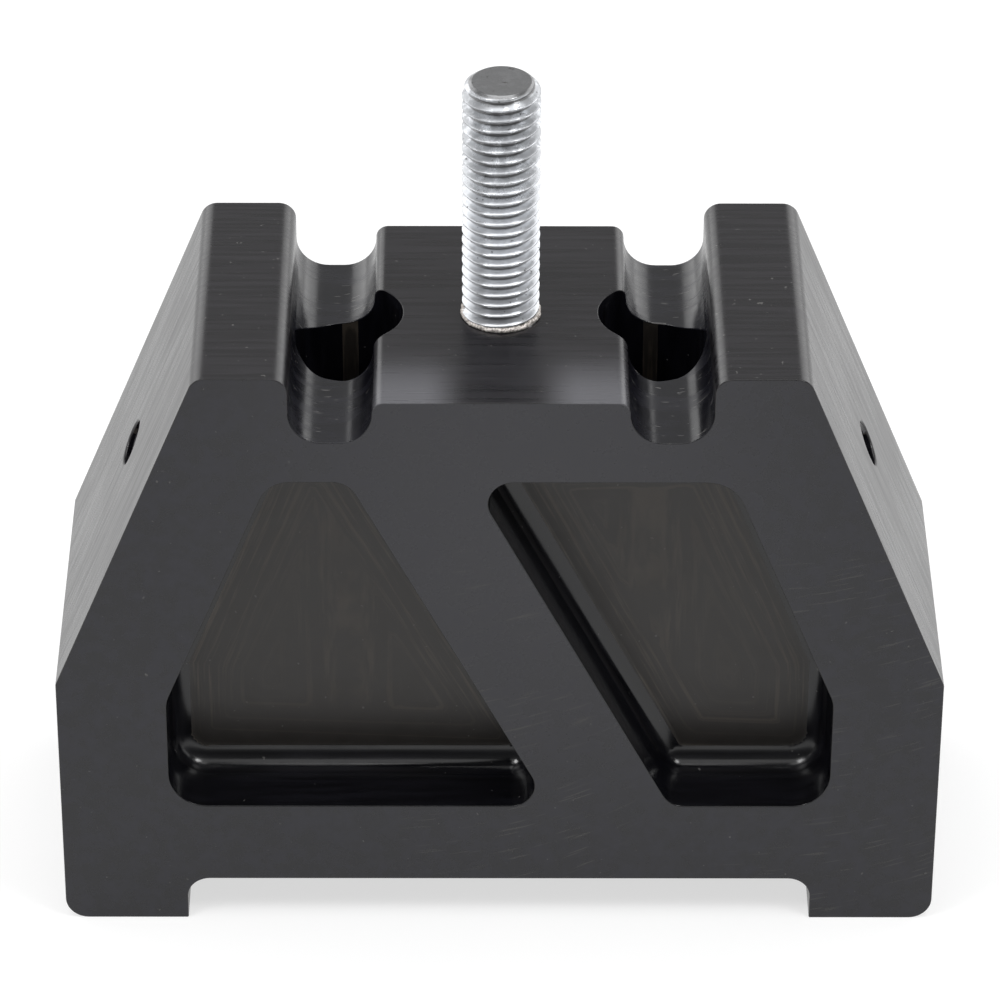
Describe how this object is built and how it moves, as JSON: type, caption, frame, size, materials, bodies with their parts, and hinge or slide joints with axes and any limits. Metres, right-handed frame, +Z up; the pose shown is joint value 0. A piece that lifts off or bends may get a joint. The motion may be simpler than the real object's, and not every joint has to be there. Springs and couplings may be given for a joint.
{
  "type": "machined mounting block",
  "caption": "Trapezoidal machined block with two top channels, upright post bores, pocketed front and an upright threaded stud for bolting a part on top.",
  "frame": {"origin": "on the ground plane between the feet, centred across the width and depth, below the stud's axis", "axes": "+X across the width, +Y from the pocketed front face to the back, +Z up along the stud"},
  "size_m": [0.115, 0.043, 0.1155],
  "materials": {
    "anodised_block": "black anodised, fine machining marks, thin bare wear along the edges",
    "plated_stud": "zinc plated, rolled thread"
  },
  "bodies": {
    "root": {"mounting_block": "anodised_block", "threaded_stud": "plated_stud"}
  },
  "joints": []
}
